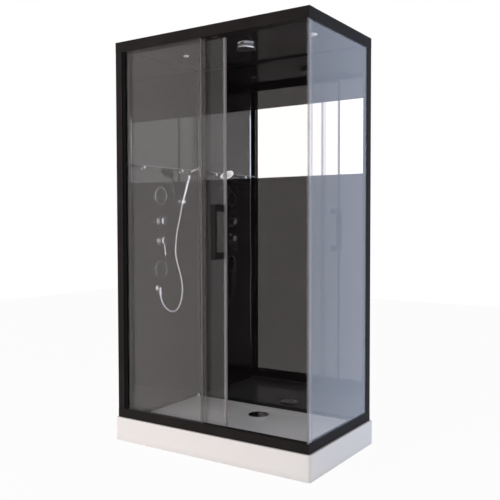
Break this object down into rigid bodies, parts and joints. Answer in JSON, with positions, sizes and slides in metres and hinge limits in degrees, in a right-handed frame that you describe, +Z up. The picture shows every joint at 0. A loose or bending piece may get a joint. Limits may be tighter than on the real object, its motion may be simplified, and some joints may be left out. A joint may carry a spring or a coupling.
{
  "type": "steam shower cabin",
  "caption": "Rectangular glass shower cabin on a low white tray, with a sliding door, black wall panels, a mirror strip, wall jets, a lever mixer, a hand shower and a rain head.",
  "frame": {"origin": "underside of the centre foot, in the middle of the tray, on the floor", "axes": "+X along the long front from left to right, +Y from the front to the back, +Z up"},
  "size_m": [1.2, 0.72, 2.14],
  "materials": {
    "frame": "satin dark grey",
    "black_channel": "matt black",
    "clear_glass": "clear polished",
    "black_glass": "gloss black",
    "mirror": "polished",
    "tray_acrylic": "gloss white",
    "tray_steel": "zinc plated",
    "trap_plastic": "satin",
    "chrome": "polished",
    "brass": "cast",
    "copper": "drawn copper",
    "clear_seal": "translucent",
    "tinted_seal": "smoky translucent",
    "nylon": "satin white",
    "bumper": "matt",
    "hose_metal": "silvered sleeve",
    "nozzle_plate": "satin grey",
    "lens": "frosted"
  },
  "bodies": {
    "cabin": {"shower_tray": "tray_acrylic", "tray_frame": "tray_steel", "tray_feet": "tray_steel", "drain_trap": "trap_plastic", "drain_flange": "chrome", "front_left_post": "frame", "back_left_post": "frame", "back_right_post": "frame", "top_front_rail": "frame", "bottom_front_rail": "frame", "top_right_rail": "frame", "bottom_right_rail": "frame", "wall_rails": "frame", "rail_end_caps": "frame", "wall_channel": "black_channel", "left_wall_panel": "black_glass", "back_wall_panels": "black_glass", "mirror_strip": "mirror", "roof_panel": "black_glass", "fixed_front_pane": "clear_glass", "fixed_pane_seal": "tinted_seal", "side_pane": "clear_glass", "corner_edge_strip": "clear_seal", "closing_strip": "clear_seal", "track_stops": "bumper", "mixer_body": "brass", "diverter_body": "brass", "rosettes": "chrome", "jet_bodies": "brass", "jet_faces": "chrome", "hose_outlet": "chrome", "wall_pipes": "copper", "pipe_to_rain_head": "copper", "shelf_glass": "clear_glass", "shelf_brackets": "chrome", "handset_holder": "chrome", "shower_hose": "hose_metal", "rain_head": "chrome", "rain_head_nut": "brass", "spot_bezels": "chrome", "spot_lenses": "lens"},
    "door": {"door_glass": "clear_glass", "door_top_profile": "frame", "door_hangers": "tray_steel", "door_guides": "nylon", "door_leading_seal": "clear_seal", "door_trailing_seal": "tinted_seal", "handle_outer": "frame", "handle_inner_caps": "frame", "handle_bolts": "tray_steel", "handle_bushes": "nylon"},
    "wheels_left": {"wheel_pair_left": "nylon"},
    "wheels_right": {"wheel_pair_right": "nylon"},
    "mixer_spindle": {"mixer_stem": "brass"},
    "mixer_handle": {"mixer_lever": "chrome"},
    "diverter_handle": {"diverter_knob": "chrome"},
    "handset": {"hose_nut": "chrome", "hand_shower": "chrome", "hand_shower_face": "nozzle_plate"},
    "waste_cover": {"drain_cover": "chrome"}
  },
  "joints": [
    {"name": "door_slide", "type": "slide", "parent": "cabin", "child": "door", "axis": [1, 0, 0], "range_m": [0, 0.459]},
    {"name": "wheels_left_roll", "type": "hinge", "parent": "door", "child": "wheels_left", "pos_m": [-0.465, -0.302, 2.1003], "axis": [0, 1, 0], "continuous": true},
    {"name": "wheels_right_roll", "type": "hinge", "parent": "door", "child": "wheels_right", "pos_m": [0.044, -0.302, 2.1003], "axis": [0, 1, 0], "continuous": true},
    {"name": "mixer_temperature", "type": "hinge", "parent": "cabin", "child": "mixer_spindle", "pos_m": [-0.545, -0.03, 1.078], "axis": [1, 0, 0], "range_deg": [-45, 45]},
    {"name": "mixer_flow", "type": "hinge", "parent": "mixer_spindle", "child": "mixer_handle", "pos_m": [-0.5235, -0.03, 1.078], "axis": [0, -1, 0], "range_deg": [0, 20]},
    {"name": "diverter_turn", "type": "hinge", "parent": "cabin", "child": "diverter_handle", "pos_m": [-0.545, -0.03, 1.19], "axis": [1, 0, 0], "range_deg": [-60, 60]},
    {"name": "hand_shower_lift", "type": "slide", "parent": "cabin", "child": "handset", "axis": [0.3173, 0, 0.9483], "range_m": [0, 0.06], "deforming": ["shower_hose"]},
    {"name": "waste_cover_lift", "type": "slide", "parent": "cabin", "child": "waste_cover", "axis": [0, 0, 1], "range_m": [0, 0.04]}
  ],
  "couplings": [
    {"joint": "wheels_left_roll", "follows": "door_slide", "rad_per_m": 90.909},
    {"joint": "wheels_right_roll", "follows": "door_slide", "rad_per_m": 90.909}
  ]
}
